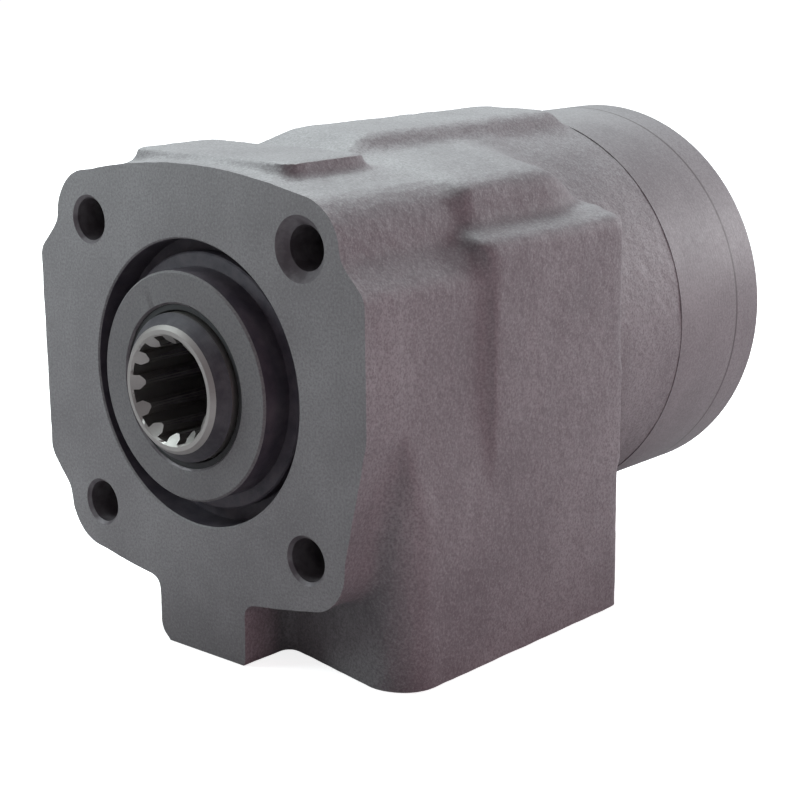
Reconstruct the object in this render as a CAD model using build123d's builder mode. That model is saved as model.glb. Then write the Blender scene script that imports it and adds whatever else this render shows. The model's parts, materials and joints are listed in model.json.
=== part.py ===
from build123d import *
from math import atan2, cos, degrees, hypot, pi, sin
import os

os.makedirs("parts", exist_ok=True)

# Orbital steering unit, millimetres.  The origin is the centre of the mounting
# face on the shaft axis.  The shaft runs along Y: the steering column comes from
# -Y and the gear set closes the +Y end.  Z is up, and the port face is underneath.

# ---- driving dimensions: mounting face --------------------------------------
BOLT_CIRCLE = 82.5          # pitch circle of the four mounting holes
MOUNT_TAP_D = 8.5           # tapping bore of the M10 mounting holes
MOUNT_DEPTH = 18.0          # full depth of the mounting holes
LEAD_IN_D = 9.8             # countersink at three of the mounting holes
WIDE_LEAD_IN_D = 12.4       # countersink at the upper right mounting hole
LEAD_IN_ANGLE = 90
LOBE_R = 10.0               # material round each mounting hole
CROWN_Z = 42.4              # top and bottom crown of the face outline
SIDE_X = 45.0               # flat flanks of the face outline
FLANK_TOP = 22.0            # flank ends, above and below the axis
NOTCH_Z = 28.0              # where the flanks run into the lobes
LEFT_FLANK_LOW = -21.0
RIGHT_FLANK_LOW = -4.0
OUTLINE_R = 2.0             # corners between the flanks and the lobes

# ---- driving dimensions: hub and column seal groove -------------------------
HUB_R = 22.4
HUB_PROUD = 3.0             # hub face in front of the mounting face
GROOVE_R = 28.1
GROOVE_DEPTH = 6.5
GROOVE_STEP_R = 25.2        # inner, shallower half of the groove
GROOVE_STEP_DEPTH = 3.4

# ---- driving dimensions: body -----------------------------------------------
BODY_X = 47.0               # side walls behind the step
STEP_Y = 33.0               # step from the flange width to the body width
FLANK_END_Y = 76.5          # rear end of the side walls and shoulders
SHOULDER_X = 40.0
SHOULDER_Z = 38.0
SHOULDER_R = 3.5
LEDGE_Z = 30.2              # ledge beside the shoulder
LEDGE_EDGE_Z = 28.0
LEDGE_R = 3.0
LEDGE_ROOT_R = 2.5
STEP_R = 1.8                # rounded front edge of the side walls
FLANK_END_R = 2.4           # rounded rear edge of the side walls and shoulders
BARREL_R = 43.6             # round rear: housing end, plate, rim and cover
HOUSING_LENGTH = 102.2
PAD_X = 22.0                # raised pad behind the mounting face
PAD_FRONT = 5.0
PAD_REAR = 27.0
PAD_Z = 43.6
PAD_R = 3.0
PLATEAU_X = 10.5            # raised bare panel on top of the barrel
PLATEAU_FOOT_X = 16.5
PLATEAU_Z = 45.8
PLATEAU_FOOT_Z = 38.0
PLATEAU_FRONT = 29.0
PLATEAU_RISE = 9.0
PLATEAU_REAR = 100.6
PLATEAU_R = 1.6

# ---- driving dimensions: port block -----------------------------------------
PORT_FACE_Z = -54.5
BLOCK_TOP_Z = -4.0
BLOCK_FULL_Z = -22.0        # below this the block is at full width in front
BLOCK_FRONT_Y = 6.3         # front of the right half, at its corner
BLOCK_WAIST_Y = 12.6        # front of the right half, at the lug
BLOCK_LEFT_Y = 28.5         # front of the left side wall
BLOCK_LEFT_WAIST_Y = 5.0
BLOCK_CORNER_R = 8.0
BLOCK_REAR_R = 3.0
LUG_X = 12.3
LUG_R = 3.5
LUG_SHARP_R = 1.2
PORT_D = 19.0               # tapping bore of a G1/2 port
PORTS = (                   # X, Y and depth: cylinder ports in front, pump and tank behind
    (-24.0, 32.0, 16.0),
    (24.0, 32.0, 17.0),
    (-24.0, 61.5, 18.0),
    (24.0, 61.5, 19.0),
)
PORT_SEAT_D = 27.0
PORT_SEAT_DEPTH = 0.8

# ---- driving dimensions: valve bores in the port face -------------------------
RELIEF_Y = 22.0
RELIEF_BORE_R = 6.5
RELIEF_PLUG_R = 8.5
RELIEF_DEPTH = 31.0
SHOCK_Y = (44.0, 63.5)
SHOCK_BORE_R = 4.6
SHOCK_PLUG_R = 6.6
SHOCK_DEPTH = 29.0
PLUG_DEPTH = 9.0
PLUG_HEX = 6.0              # across the flats of the hexagon sockets
PLUG_HEX_DEPTH = 5.0
PLUG_SEAL_T = 1.2
VALVE_FIT = 0.03            # radial clearance of a sliding valve part
BALL_R = 3.2
SEAT_HOLE_R = 2.2
SEAT_T = 3.0
PLUG_SET = 0.3              # plugs lie this far inside the port face
ADJUSTER_T = 4.0
VALVE_LIFT_GAP = 0.05
POPPET_LAND = 0.6
POPPET_TIP = 1.2
POPPET_LENGTH = 7.0
POPPET_STEM_R = 2.4
POPPET_STEM = 2.5
RELIEF_COIL_R = 4.2
RELIEF_WIRE_R = 0.7
SHOCK_COIL_R = 2.4
SHOCK_WIRE_R = 0.5
COIL_TURNS = 4

# ---- driving dimensions: bore, spool and sleeve -------------------------------
FIT = 0.03                  # radial running clearance
SPOOL_R = 14.5
SLEEVE_THICK = 4.44         # wall of the sleeve
NOSE_STEP = 2.0             # rim of the spool end inside the spool radius
SPOOL_NOSE_Y = -6.6
SPOOL_CONE_Y = -3.6         # where the nose cone reaches the full radius
NOSE_CHAMFER = 0.8
SPOOL_BORE_R = 10.2
SPLINE_TEETH = 12
SPLINE_TIP_R = 8.75
SPLINE_ROOT_R = 10.5
SPLINE_MOUTH_R = 10.9
SPLINE_END_Y = 15.0
SLEEVE_FRONT_Y = 20.1
SLEEVE_FACE_GAP = 0.1
SPOOL_END_GAP = 0.3
NECK_GAP = 0.4              # housing round the spool neck

# ---- driving dimensions: front seals and thrust bearing -------------------------
DUST_SEAL_WALL = 1.44
DUST_SEAL_REAR = 2.0
DUST_SEAL_SET = 0.6         # how far the dust seal lies behind the hub face
DUST_LIP_GAP = 0.06
DUST_LIP_LENGTH = 0.8
GLAND_WALL = 1.37           # room for the ring behind the sealing ring
ORING_INSET = 1.0           # that ring from either end of the gland
GLAND_FRONT = 5.0
GLAND_LENGTH = 4.2
RING_WALL = 2.3
SEAL_GAP = 0.05
RACE_FRONT = 13.0           # shoulder that carries the thrust bearing
FRONT_RACE_T = 2.9
CAGE_T = 2.5
REAR_RACE_T = 1.6
RACE_GAP = 0.2              # races inside the housing bore
RACE_BORE_GAP = 0.1         # races round the spool
NEEDLES = 20
NEEDLE_LENGTH = 3.0
CAGE_WEB = 1.6              # thickness of the cage plate

# ---- driving dimensions: centring springs and cross pin -------------------------
SLEEVE_NECK_STEP = 1.67     # sleeve under the spring ring
RING_REAR_Y = 38.0
RING_END_GAP = 0.3
SPRING_Y = 30.0
SPRING_WIDTH = 8.0
SPRING_T = 0.55
SPRING_BOW = 1.1
SPRING_END_GAP = 0.4        # ends of the springs inside the sleeve's neck
SLOT_WIDTH = 8.4
SLOT_HEIGHT = 6.2
PIN_Y = 50.0
PIN_R = 4.0
PIN_END_GAP = 0.5
SPOOL_TRAVEL = 8.0          # turn of the spool in the sleeve each way, degrees
PIN_SLOT_GAP = 0.35         # room left beside the pin at the end of that travel
PIN_SIDE_GAP = 0.15

# ---- driving dimensions: oil grooves and metering holes ---------------------------
GROOVE_YS = (61.0, 78.0)    # fronts of the sleeve's grooves
SLEEVE_GROOVE_W = 4.0
SLEEVE_GROOVE_DEPTH = 1.4
METER_YS = (63.0, 80.0, 91.0)
METER_COUNTS = (6, 12, 6)
METER_RADII = (1.6, 1.3, 2.2)
SPOOL_SLOTS = 6
SPOOL_SLOT_Y = (70.0, 95.0)
SPOOL_SLOT_W = 3.0
SPOOL_SLOT_DEPTH = 1.3

# ---- driving dimensions: cardan shaft and gear set -------------------------------
PLATE_T = 9.2
RIM_T = 13.0                # sets the displacement, about 100 cm3 a turn
COVER_T = 9.6
COVER_CHAMFER = 0.8
ECCENTRICITY = 3.9
LOBES = 7
LOBE_CIRCLE_R = 33.0
RING_LOBE_R = 7.5
ROTOR_GAP = 0.05            # running clearance between rotor and rim lobes
ROTOR_POINTS = 96           # points that the rotor's outline is drawn through
ROTOR_SIDE_GAP = 0.04
ROTOR_TIP_R = 9.9           # internal teeth of the rotor
ROTOR_ROOT_R = 11.6
HEAD_TIP_R = 11.0           # crowned teeth of the cardan head
HEAD_ROOT_R = 9.3
HEAD_HALF = 3.0
TOOTH_SHARE = 0.42          # tooth width as a share of the pitch
CARDAN_FORK_R = 9.2
CARDAN_NECK_R = 6.0
CARDAN_FRONT_Y = 43.0
CARDAN_FORK_END = 60.0
CARDAN_TAIL_GAP = 3.2       # shaft end in front of the rotor's rear face
FORK_GAP = 0.15
FORK_DEEP = 0.8             # room behind the pin as the shaft swings
SPACER_R = 9.2
SPACER_T = 2.4
SPACER_GAP = 0.04
PLATE_HOLE_R = 11.2
POCKET_OUT = 2.5            # pockets of the plate reach out of the passages
POCKET_LENGTH = 8.5
POCKET_WIDTH = 4.4
POCKET_DEPTH = 2.5

# ---- driving dimensions: gear set screws and seals ---------------------------------
SCREW_CIRCLE_R = 35.0
SCREW_D = 8.0
SCREW_TAP_R = 3.4
SCREW_HOLE_R = 4.2
SCREW_DEPTH = 16.0
SCREW_GRIP = 14.0
PIN_SCREW_GRIP = 15.0       # the screw that also carries the locating pin
HEAD_R = 6.5
HEAD_H = 4.8
HEAD_RECESS_R = 7.0
HEAD_SET = 0.2              # heads lie this far inside the cover
WASHER_R = 6.8
WASHER_T = 1.2
HEAD_HEX = 6.5
HEAD_HEX_DEPTH = 3.4
SEAL_EDGE = 2.1             # middle of a face seal inside the barrel's rim
SEAL_WIDTH = 1.5
SEAL_DEPTH = 1.2

# ---- driving dimensions: valves in the rear face --------------------------------------
REAR_VALVE_R = 26.0         # radius of the check and suction bores from the axis
CHECK_BORE_R = 4.4
CHECK_BALL_R = 3.9
CHECK_DEPTH = 16.0
BUSH_T = 6.0
BUSH_HOLE_R = 2.4
SUCTION_BORE_R = 3.6
SUCTION_BALL_R = 3.15
SUCTION_DEPTH = 18.0
SUCTION_PIN_R = 1.2
SUCTION_PIN_LENGTH = 10.0
BALL_REST = 0.2             # gap of a resting ball to the next part
PASSAGE_R = 2.2
PASSAGE_CIRCLE_R = 23.4
PASSAGE_DEPTH = 38.0

# ---- worked out from the driving dimensions ----------------------------------------------
HOLE_OFFSET = BOLT_CIRCLE / 2 / 2 ** 0.5
LOBE_REACH = HOLE_OFFSET + LOBE_R
BORE_R = SPOOL_R + FIT + SLEEVE_THICK + FIT
SPOOL_NOSE_R = SPOOL_R - NOSE_STEP
NECK_BORE_R = SPOOL_R + NECK_GAP
DUST_LIP_R = SPOOL_R + DUST_LIP_GAP
DUST_SEAL_R = DUST_LIP_R + DUST_SEAL_WALL
GLAND_R = SPOOL_R + FIT + RING_WALL + GLAND_WALL
RACE_R = BORE_R - RACE_GAP
RACE_BORE_R = SPOOL_R + RACE_BORE_GAP
SLEEVE_R = BORE_R - FIT
SLEEVE_BORE_R = SPOOL_R + FIT
SLEEVE_NECK_R = SLEEVE_R - SLEEVE_NECK_STEP
SPRING_LENGTH = 2 * (SLEEVE_NECK_R - SPRING_END_GAP)
SLEEVE_END_Y = HOUSING_LENGTH - SLEEVE_FACE_GAP
SPOOL_END_Y = HOUSING_LENGTH - SPOOL_END_GAP
CAGE_FRONT = RACE_FRONT + FRONT_RACE_T
REAR_RACE_FRONT = CAGE_FRONT + CAGE_T
PLATE_END_Y = HOUSING_LENGTH + PLATE_T
RIM_END_Y = PLATE_END_Y + RIM_T
UNIT_END_Y = RIM_END_Y + COVER_T
HEAD_FLOOR_Y = UNIT_END_Y - HEAD_SET - HEAD_H - WASHER_T
ROTOR_MID_Y = PLATE_END_Y + RIM_T / 2
CARDAN_TILT = degrees(atan2(ECCENTRICITY, ROTOR_MID_Y - PIN_Y))
TILT_SINE = sin(CARDAN_TILT * pi / 180)
PIN_SLOT_W = 2 * (PIN_R + PIN_SLOT_GAP + SPOOL_R * sin(SPOOL_TRAVEL * pi / 180))
SCREW_STEP = 360 / LOBES
SEAL_R = BARREL_R - SEAL_EDGE
CARDAN_TAIL_Y = RIM_END_Y - CARDAN_TAIL_GAP


def across(y):
    """Plane square to the shaft at y; its sketches read X to the right and Z up."""
    return Plane.XZ.offset(-y)


def lobe_angles():
    """Angles of the rim's lobes and of the screws through them, first one on top."""
    return [90 + SCREW_STEP * k for k in range(LOBES)]


def suction_places():
    """X and Z of the two suction valve bores, left one first; they clear the passages."""
    return [polar(REAR_VALVE_R, 90 + SCREW_STEP * k) for k in (2, 5)]


def check_place():
    """X and Z of the check valve bore, low on the right."""
    return polar(REAR_VALVE_R, 90 + SCREW_STEP * 4)


def polar(radius, angle):
    """X and Z of a point at a radius and an angle in degrees."""
    return radius * cos(angle * pi / 180), radius * sin(angle * pi / 180)


def ring(outer, inner, start, length):
    """Plain ring about the shaft axis."""
    with BuildPart() as plain_ring:
        with BuildSketch(across(start)):
            Circle(outer)
            Circle(inner, mode=Mode.SUBTRACT)
        extrude(amount=-length)
    return plain_ring.part


def spline_profile(tip, root, inward, turn=0):
    """Face of a toothed bore (inward) or of a toothed shaft with square-sided teeth."""
    pitch_r = (tip + root) / 2
    width = 2 * pi * pitch_r / SPLINE_TEETH * TOOTH_SHARE
    low, high = min(tip, root), max(tip, root)
    with BuildSketch() as profile:
        Circle(high if inward else low)
        with PolarLocations(0, SPLINE_TEETH, start_angle=turn):
            with Locations(((low + high) / 2 + (0.5 if inward else -0.5), 0)):
                Rectangle(
                    high - low + 1,
                    width,
                    mode=Mode.SUBTRACT if inward else Mode.ADD,
                )
    return profile.sketch


def rotor_profile():
    """Six-lobed rotor: the path of the rim's lobe centres, moved in by the lobe radius."""
    reach = RING_LOBE_R + ROTOR_GAP
    points = []
    for k in range(ROTOR_POINTS):
        t = 2 * pi * k / ROTOR_POINTS
        x = LOBE_CIRCLE_R * cos(t) + ECCENTRICITY * cos(LOBES * t)
        y = LOBE_CIRCLE_R * sin(t) + ECCENTRICITY * sin(LOBES * t)
        dx = -LOBE_CIRCLE_R * sin(t) - LOBES * ECCENTRICITY * sin(LOBES * t)
        dy = LOBE_CIRCLE_R * cos(t) + LOBES * ECCENTRICITY * cos(LOBES * t)
        speed = hypot(dx, dy)
        points.append((x - reach * dy / speed, y + reach * dx / speed))
    return points


def finish(part, name):
    """Label a finished piece and write it."""
    part.part.label = name
    export_step(part.part, f"parts/{name}.step")


# ---- housing: forms that are joined into it ---------------------------------------------------
with BuildSketch() as face_outline:
    RectangleRounded(2 * LOBE_REACH, 2 * LOBE_REACH, LOBE_R)
    for side in (1, -1):
        with BuildLine():
            crown = ThreePointArc(
                (-HOLE_OFFSET, side * LOBE_REACH),
                (0, side * CROWN_Z),
                (HOLE_OFFSET, side * LOBE_REACH),
            )
            Line(crown @ 1, crown @ 0)
        make_face()
    with BuildLine():
        Polyline(
            (-SIDE_X, LEFT_FLANK_LOW),
            (-SIDE_X, FLANK_TOP),
            (-LOBE_REACH, NOTCH_Z),
            (LOBE_REACH, NOTCH_Z),
            (SIDE_X, FLANK_TOP),
            (SIDE_X, RIGHT_FLANK_LOW),
            (LOBE_REACH, -NOTCH_Z),
            (-LOBE_REACH, -NOTCH_Z),
            close=True,
        )
    make_face()
    fillet(
        face_outline.vertices().filter_by(lambda v: abs(v.Y) < NOTCH_Z + 0.01),
        OUTLINE_R,
    )

with BuildSketch() as shoulder_outline:
    with BuildLine():
        ThreePointArc((-SHOULDER_X, SHOULDER_Z), (0, CROWN_Z), (SHOULDER_X, SHOULDER_Z))
        Polyline(
            (SHOULDER_X, SHOULDER_Z),
            (SHOULDER_X, LEDGE_Z),
            (BODY_X, LEDGE_EDGE_Z),
            (BODY_X, BLOCK_TOP_Z),
            (-BODY_X, BLOCK_TOP_Z),
            (-BODY_X, LEDGE_EDGE_Z),
            (-SHOULDER_X, LEDGE_Z),
            (-SHOULDER_X, SHOULDER_Z),
        )
    make_face()
    fillet(shoulder_outline.vertices().group_by(Axis.Y)[-1], SHOULDER_R)
    fillet(
        shoulder_outline.vertices().filter_by(lambda v: abs(v.Y - LEDGE_EDGE_Z) < 0.01),
        LEDGE_R,
    )
    fillet(
        shoulder_outline.vertices().filter_by(lambda v: abs(v.Y - LEDGE_Z) < 0.01),
        LEDGE_ROOT_R,
    )

with BuildPart() as flange:
    with BuildSketch(across(0)):
        add(face_outline.sketch)
    extrude(amount=-STEP_Y)

with BuildPart() as side_walls:
    with BuildSketch(across(STEP_Y)):
        add(shoulder_outline.sketch)
    extrude(amount=-(FLANK_END_Y - STEP_Y))
    fillet(side_walls.faces().sort_by(Axis.Y)[0].edges(), STEP_R)
    fillet(side_walls.faces().sort_by(Axis.Y)[-1].edges(), FLANK_END_R)

with BuildPart() as port_block:
    with BuildSketch(Plane.XY.offset(PORT_FACE_Z)):
        with BuildLine():
            Polyline(
                (0, BLOCK_WAIST_Y),
                (LUG_X, BLOCK_WAIST_Y),
                (BODY_X, BLOCK_FRONT_Y),
                (BODY_X, FLANK_END_Y),
                (-BODY_X, FLANK_END_Y),
                (-BODY_X, BLOCK_LEFT_Y),
                (-LUG_X, BLOCK_LEFT_WAIST_Y),
                (0, BLOCK_LEFT_WAIST_Y),
                close=True,
            )
        make_face()
    extrude(amount=BLOCK_TOP_Z - PORT_FACE_Z)
    upright = port_block.edges().filter_by(Axis.Z)
    fillet(upright.group_by(Axis.X)[-1].sort_by(Axis.Y)[0], BLOCK_CORNER_R)
    fillet(port_block.edges().filter_by(Axis.Z).group_by(Axis.Y)[-1], BLOCK_REAR_R)
    with BuildSketch(across(0)):
        with BuildLine():
            Polyline(
                (-BODY_X, PORT_FACE_Z),
                (BODY_X, PORT_FACE_Z),
                (BODY_X, BLOCK_FULL_Z),
                (SIDE_X, BLOCK_TOP_Z),
                (-SIDE_X, BLOCK_TOP_Z),
                (-BODY_X, BLOCK_FULL_Z),
                close=True,
            )
        make_face()
    extrude(amount=-HOUSING_LENGTH, mode=Mode.INTERSECT)

with BuildPart() as plateau:
    with BuildSketch(Plane.YZ):
        with BuildLine():
            Polyline(
                (PLATEAU_FRONT, PLATEAU_FOOT_Z),
                (PLATEAU_FRONT, CROWN_Z),
                (PLATEAU_FRONT + PLATEAU_RISE, PLATEAU_Z),
                (PLATEAU_REAR, PLATEAU_Z),
                (PLATEAU_REAR, PLATEAU_FOOT_Z),
                close=True,
            )
        make_face()
    extrude(amount=PLATEAU_FOOT_X, both=True)
    with BuildSketch(across(0)):
        with BuildLine():
            Polyline(
                (-PLATEAU_FOOT_X, PLATEAU_FOOT_Z),
                (-PLATEAU_X, PLATEAU_Z),
                (PLATEAU_X, PLATEAU_Z),
                (PLATEAU_FOOT_X, PLATEAU_FOOT_Z),
                close=True,
            )
        make_face()
    extrude(amount=-HOUSING_LENGTH, mode=Mode.INTERSECT)
    fillet(plateau.faces().sort_by(Axis.Z)[-1].edges(), PLATEAU_R)

with BuildPart() as mounting_pad:
    with BuildSketch(Plane.XY.offset(PLATEAU_FOOT_Z)):
        with Locations((0, (PAD_FRONT + PAD_REAR) / 2)):
            RectangleRounded(2 * PAD_X, PAD_REAR - PAD_FRONT, PAD_R)
    extrude(amount=PAD_Z - PLATEAU_FOOT_Z)
    fillet(mounting_pad.faces().sort_by(Axis.Z)[-1].edges(), PLATEAU_R / 2)

with BuildPart() as lug:
    with Locations((0, BLOCK_WAIST_Y / 2, PORT_FACE_Z)):
        Box(
            2 * LUG_X,
            BLOCK_WAIST_Y,
            -HOLE_OFFSET - PORT_FACE_Z,
            align=(Align.CENTER, Align.CENTER, Align.MIN),
        )
    low_edges = lug.edges().filter_by(Axis.Y).group_by(Axis.Z)[0]
    fillet(low_edges.sort_by(Axis.X)[0], LUG_R)
    fillet(lug.edges().filter_by(Axis.Y).group_by(Axis.Z)[0].sort_by(Axis.X)[-1], LUG_SHARP_R)

# ---- housing ------------------------------------------------------------------------------------
with BuildPart() as housing:
    add(flange.part)
    add(side_walls.part)
    add(port_block.part)
    add(lug.part)
    with BuildSketch(across(STEP_Y)):
        Circle(BARREL_R)
    extrude(amount=-(HOUSING_LENGTH - STEP_Y))
    add(plateau.part)
    add(mounting_pad.part)
    # column seal groove, the hub inside it and the shaft bore
    with BuildSketch(Plane.XY):
        with BuildLine():
            Polyline(
                (0, -HUB_PROUD - 1),
                (HUB_R, -HUB_PROUD - 1),
                (HUB_R, GROOVE_STEP_DEPTH),
                (GROOVE_STEP_R, GROOVE_STEP_DEPTH),
                (GROOVE_STEP_R, GROOVE_DEPTH),
                (GROOVE_R, GROOVE_DEPTH),
                (GROOVE_R, -HUB_PROUD - 1),
                close=True,
            )
        make_face()
        with BuildLine():
            Polyline(
                (0, -HUB_PROUD - 1),
                (HUB_R, -HUB_PROUD - 1),
                (HUB_R, GROOVE_STEP_DEPTH),
                (0, GROOVE_STEP_DEPTH),
                close=True,
            )
        make_face(mode=Mode.SUBTRACT)
    revolve(axis=Axis.Y, mode=Mode.SUBTRACT)
    with BuildSketch(across(-HUB_PROUD)):
        Circle(HUB_R)
    extrude(amount=-(HUB_PROUD + GROOVE_STEP_DEPTH))
    with BuildSketch(Plane.XY):
        with BuildLine():
            Polyline(
                (0, -HUB_PROUD),
                (DUST_SEAL_R, -HUB_PROUD),
                (DUST_SEAL_R, DUST_SEAL_REAR),
                (NECK_BORE_R, DUST_SEAL_REAR),
                (NECK_BORE_R, GLAND_FRONT),
                (GLAND_R, GLAND_FRONT),
                (GLAND_R, GLAND_FRONT + GLAND_LENGTH),
                (NECK_BORE_R, GLAND_FRONT + GLAND_LENGTH),
                (NECK_BORE_R, RACE_FRONT),
                (BORE_R, RACE_FRONT),
                (BORE_R, HOUSING_LENGTH),
                (0, HOUSING_LENGTH),
                close=True,
            )
        make_face()
    revolve(axis=Axis.Y, mode=Mode.SUBTRACT)
    # mounting holes
    for column in (-1, 1):
        for row in (-1, 1):
            lead_in = WIDE_LEAD_IN_D if column == 1 and row == 1 else LEAD_IN_D
            with Locations(across(0) * Pos(column * HOLE_OFFSET, row * HOLE_OFFSET)):
                CounterSinkHole(MOUNT_TAP_D / 2, lead_in / 2, MOUNT_DEPTH, LEAD_IN_ANGLE)
    # rear face: screw holes, seal groove, passages and valve bores
    with BuildSketch(across(HOUSING_LENGTH)):
        with Locations(*[polar(SCREW_CIRCLE_R, a) for a in lobe_angles()]):
            Circle(SCREW_TAP_R)
    extrude(amount=SCREW_DEPTH, mode=Mode.SUBTRACT)
    with BuildSketch(across(HOUSING_LENGTH)):
        Circle(SEAL_R + SEAL_WIDTH / 2)
        Circle(SEAL_R - SEAL_WIDTH / 2, mode=Mode.SUBTRACT)
    extrude(amount=SEAL_DEPTH, mode=Mode.SUBTRACT)
    with BuildSketch(across(HOUSING_LENGTH)):
        with Locations(*[polar(PASSAGE_CIRCLE_R, a + SCREW_STEP / 2) for a in lobe_angles()]):
            Circle(PASSAGE_R)
    extrude(amount=PASSAGE_DEPTH, mode=Mode.SUBTRACT)
    with BuildSketch(across(HOUSING_LENGTH)):
        with Locations(check_place()):
            Circle(CHECK_BORE_R)
    extrude(amount=CHECK_DEPTH, mode=Mode.SUBTRACT)
    with BuildSketch(across(HOUSING_LENGTH)):
        with Locations(*suction_places()):
            Circle(SUCTION_BORE_R)
    extrude(amount=SUCTION_DEPTH, mode=Mode.SUBTRACT)
    # port face: four ports and three valve bores
    for x, y, depth in PORTS:
        with Locations((x, y, PORT_FACE_Z)):
            Cylinder(
                PORT_SEAT_D / 2,
                PORT_SEAT_DEPTH,
                align=(Align.CENTER, Align.CENTER, Align.MIN),
                mode=Mode.SUBTRACT,
            )
            Cylinder(
                PORT_D / 2,
                depth,
                align=(Align.CENTER, Align.CENTER, Align.MIN),
                mode=Mode.SUBTRACT,
            )
    valve_bores = [(RELIEF_Y, RELIEF_PLUG_R, RELIEF_BORE_R, RELIEF_DEPTH)]
    valve_bores += [(y, SHOCK_PLUG_R, SHOCK_BORE_R, SHOCK_DEPTH) for y in SHOCK_Y]
    for y, plug_r, bore_r, depth in valve_bores:
        with Locations((0, y, PORT_FACE_Z)):
            Cylinder(
                plug_r,
                PLUG_DEPTH,
                align=(Align.CENTER, Align.CENTER, Align.MIN),
                mode=Mode.SUBTRACT,
            )
            Cylinder(
                bore_r,
                depth,
                align=(Align.CENTER, Align.CENTER, Align.MIN),
                mode=Mode.SUBTRACT,
            )
finish(housing, "housing")

# ---- front seals -----------------------------------------------------------------------------------
with BuildPart() as dust_seal:
    with BuildSketch(Plane.XY):
        with BuildLine():
            Polyline(
                (DUST_SEAL_R, DUST_SEAL_SET - HUB_PROUD),
                (DUST_SEAL_R, DUST_SEAL_REAR),
                (NECK_BORE_R, DUST_SEAL_REAR),
                (DUST_LIP_R, 0),
                (DUST_LIP_R, DUST_SEAL_SET - HUB_PROUD + DUST_LIP_LENGTH),
                (NECK_BORE_R, DUST_SEAL_SET - HUB_PROUD),
                close=True,
            )
        make_face()
    revolve(axis=Axis.Y)
finish(dust_seal, "dust_seal")

with BuildPart() as shaft_seal_ring:
    add(
        ring(
            SPOOL_R + FIT + RING_WALL,
            SPOOL_R + FIT,
            GLAND_FRONT + SEAL_GAP,
            GLAND_LENGTH - 2 * SEAL_GAP,
        )
    )
finish(shaft_seal_ring, "shaft_seal_ring")

with BuildPart() as shaft_seal_oring:
    add(
        ring(
            GLAND_R,
            SPOOL_R + FIT + RING_WALL,
            GLAND_FRONT + ORING_INSET,
            GLAND_LENGTH - 2 * ORING_INSET,
        )
    )
    chamfer(shaft_seal_oring.edges().filter_by(GeomType.CIRCLE), 0.4)
finish(shaft_seal_oring, "shaft_seal_oring")

# ---- thrust bearing --------------------------------------------------------------------------------
with BuildPart() as front_race:
    add(ring(RACE_R, RACE_BORE_R, RACE_FRONT, FRONT_RACE_T))
    front_edges = front_race.edges().filter_by(GeomType.CIRCLE).group_by(Axis.Y)[0]
    chamfer(front_edges.sort_by(SortBy.LENGTH)[-1], 0.8)
finish(front_race, "front_race")

NEEDLE_R = (CAGE_T - 0.04) / 2
CAGE_MID_Y = CAGE_FRONT + CAGE_T / 2
NEEDLE_CIRCLE_R = (RACE_R + RACE_BORE_R) / 2
with BuildPart() as bearing_cage:
    add(ring(RACE_R - 0.1, RACE_BORE_R + 0.1, CAGE_MID_Y - CAGE_WEB / 2, CAGE_WEB))
    with BuildSketch(across(CAGE_FRONT)):
        with PolarLocations(NEEDLE_CIRCLE_R, NEEDLES):
            Rectangle(NEEDLE_LENGTH + 0.2, 2 * NEEDLE_R + 0.12)
    extrude(amount=-CAGE_T, mode=Mode.SUBTRACT)
finish(bearing_cage, "bearing_cage")

with BuildPart() as bearing_needles:
    with Locations(across(CAGE_MID_Y)):
        with PolarLocations(NEEDLE_CIRCLE_R, NEEDLES):
            Cylinder(NEEDLE_R, NEEDLE_LENGTH, rotation=(0, 90, 0))
finish(bearing_needles, "bearing_needles")

with BuildPart() as rear_race:
    add(ring(RACE_R, RACE_BORE_R, REAR_RACE_FRONT, REAR_RACE_T))
finish(rear_race, "rear_race")

# ---- sleeve with the spring ring, cross pin and springs ---------------------------------------------
with BuildPart() as sleeve:
    with BuildSketch(Plane.XY):
        with BuildLine():
            Polyline(
                (SLEEVE_BORE_R, SLEEVE_FRONT_Y),
                (SLEEVE_NECK_R, SLEEVE_FRONT_Y),
                (SLEEVE_NECK_R, RING_REAR_Y),
                (SLEEVE_R, RING_REAR_Y),
                (SLEEVE_R, SLEEVE_END_Y),
                (SLEEVE_BORE_R, SLEEVE_END_Y),
                close=True,
            )
        make_face()
    revolve(axis=Axis.Y)
    # slot for the springs, across the sleeve
    with BuildSketch(Plane.XY):
        with Locations((0, SPRING_Y)):
            Rectangle(2 * BORE_R, SLOT_WIDTH)
    extrude(amount=SLOT_HEIGHT / 2, both=True, mode=Mode.SUBTRACT)
    with Locations((0, PIN_Y, 0)):
        Cylinder(PIN_R, 2 * BORE_R, mode=Mode.SUBTRACT)
    # oil grooves and the rows of metering holes
    for y in GROOVE_YS:
        with BuildSketch(across(y)):
            Circle(BORE_R)
            Circle(SLEEVE_R - SLEEVE_GROOVE_DEPTH, mode=Mode.SUBTRACT)
        extrude(amount=-SLEEVE_GROOVE_W, mode=Mode.SUBTRACT)
    for y, count, radius in zip(METER_YS, METER_COUNTS, METER_RADII):
        with Locations(across(y)):
            with PolarLocations((SLEEVE_R + SLEEVE_BORE_R) / 2, count):
                Cylinder(radius, 2 * SLEEVE_THICK, rotation=(0, 90, 0), mode=Mode.SUBTRACT)
finish(sleeve, "sleeve")

with BuildPart() as spring_ring:
    add(
        ring(
            BORE_R - 2 * FIT,
            SLEEVE_NECK_R + FIT,
            SLEEVE_FRONT_Y + RING_END_GAP,
            RING_REAR_Y - SLEEVE_FRONT_Y - 2 * RING_END_GAP,
        )
    )
finish(spring_ring, "spring_ring")

with BuildPart() as cross_pin:
    with Locations((0, PIN_Y, 0)):
        Cylinder(PIN_R - 0.01, 2 * (BORE_R - PIN_END_GAP))
    chamfer(cross_pin.edges().filter_by(GeomType.CIRCLE), 0.5)
finish(cross_pin, "cross_pin")

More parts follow.
